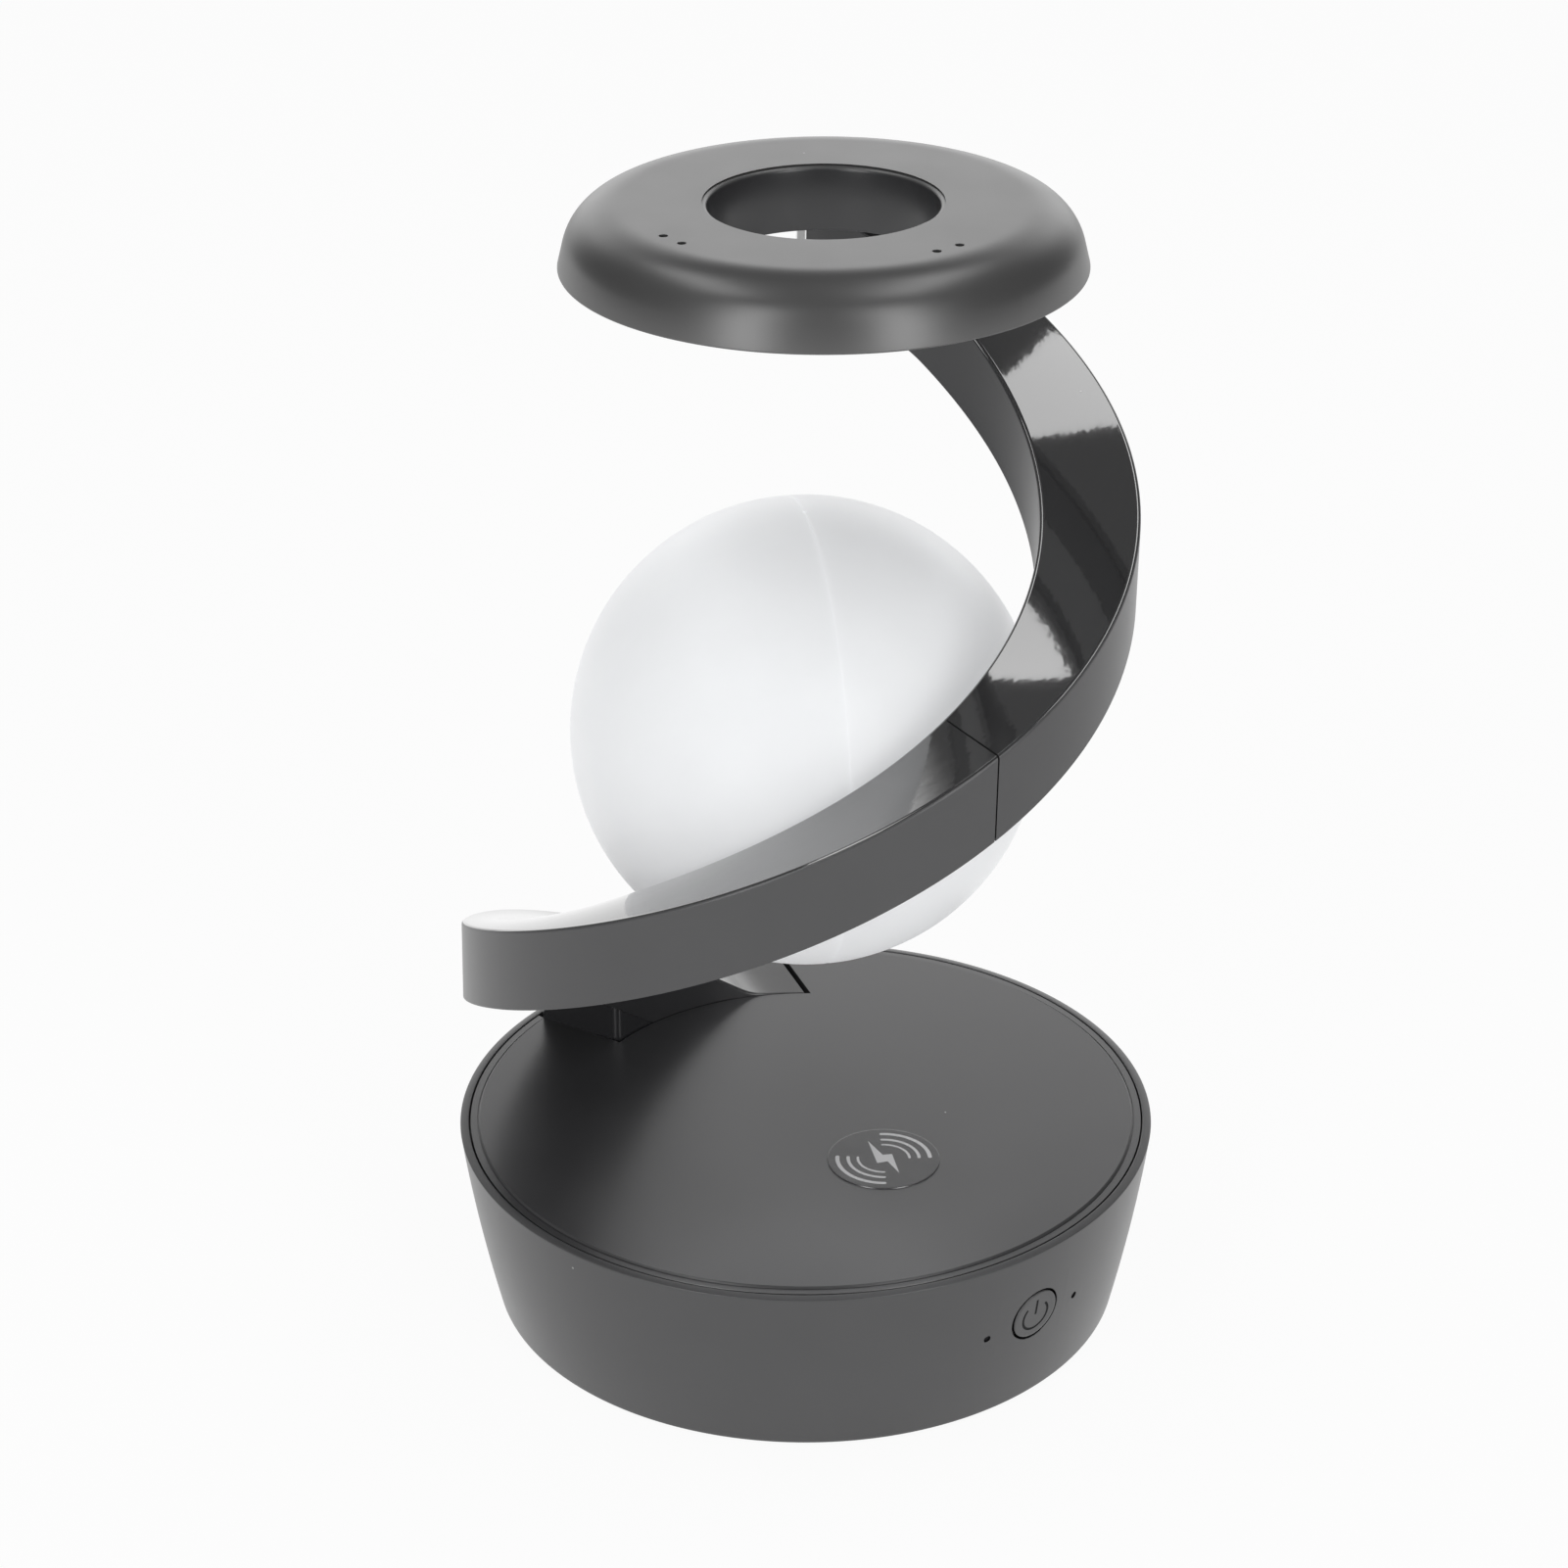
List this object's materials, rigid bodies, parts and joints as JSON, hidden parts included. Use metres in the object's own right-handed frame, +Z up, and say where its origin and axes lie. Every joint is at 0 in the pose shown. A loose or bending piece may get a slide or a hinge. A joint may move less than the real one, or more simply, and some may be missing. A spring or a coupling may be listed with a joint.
{
  "type": "levitating table lamp",
  "caption": "Table lamp with a drum base that charges a phone, a spiral arm, a ring-shaped head and a glowing ball hovering between them.",
  "frame": {"origin": "bottom centre of the base, on the table", "axes": "+Z up through the base, the ball and the head; -Y to the front of the picture; +X to its right"},
  "size_m": [0.1499, 0.1498, 0.246],
  "materials": {
    "satin_grey": "satin",
    "gloss_grey": "high gloss",
    "black_plastic": "fine texture",
    "milk_plastic": "translucent satin",
    "clear_label": "clear film",
    "rubber": "matt",
    "steel": "plated",
    "ferrite": "sintered",
    "copper": "enamelled wire",
    "circuit_board": "solder mask"
  },
  "bodies": {
    "lamp": {"base_shell": "satin_grey", "top_plate": "satin_grey", "bottom_cover": "black_plastic", "rubber_feet": "rubber", "cover_screws": "steel", "ballast_ring": "steel", "magnet_carrier": "black_plastic", "lift_magnet": "ferrite", "lift_coils": "copper", "hall_board": "circuit_board", "power_coil": "copper", "charge_coil": "copper", "charge_shield": "ferrite", "charge_mark": "clear_label", "control_board": "circuit_board", "board_parts": "black_plastic", "inlet_board": "circuit_board", "usb_inlet": "steel", "button_switch": "steel", "button_board": "circuit_board", "indicator_pins": "clear_label", "arm_foot": "gloss_grey", "foot_screws": "steel", "lower_arm": "gloss_grey", "lower_arm_cover": "black_plastic", "arm_joint_plug": "black_plastic", "upper_arm": "gloss_grey", "upper_arm_cover": "black_plastic", "arm_end_cap": "gloss_grey", "head_harness": "rubber", "head_neck": "gloss_grey", "neck_screws": "steel", "head_shell": "satin_grey", "head_base": "satin_grey", "head_diffuser": "milk_plastic", "head_led_board": "circuit_board", "head_leds": "milk_plastic", "head_screws": "steel"},
    "button": {"power_button": "satin_grey", "switch_plunger": "black_plastic"},
    "ball": {"ball_shell_left": "milk_plastic", "ball_shell_right": "milk_plastic", "ball_frame": "milk_plastic", "ball_magnet": "steel", "ball_coil": "copper", "ball_led_board": "circuit_board", "ball_leds": "milk_plastic"}
  },
  "joints": [
    {"name": "button_press", "type": "slide", "parent": "lamp", "child": "button", "axis": [-0.6469, 0.7441, 0.1669], "range_m": [0, 0.0006], "stiffness_N_per_m": 1500},
    {"name": "ball_spin", "type": "hinge", "parent": "lamp", "child": "ball", "pos_m": [0, 0.002, 0.1309], "axis": [0, 0, 1], "continuous": true}
  ]
}
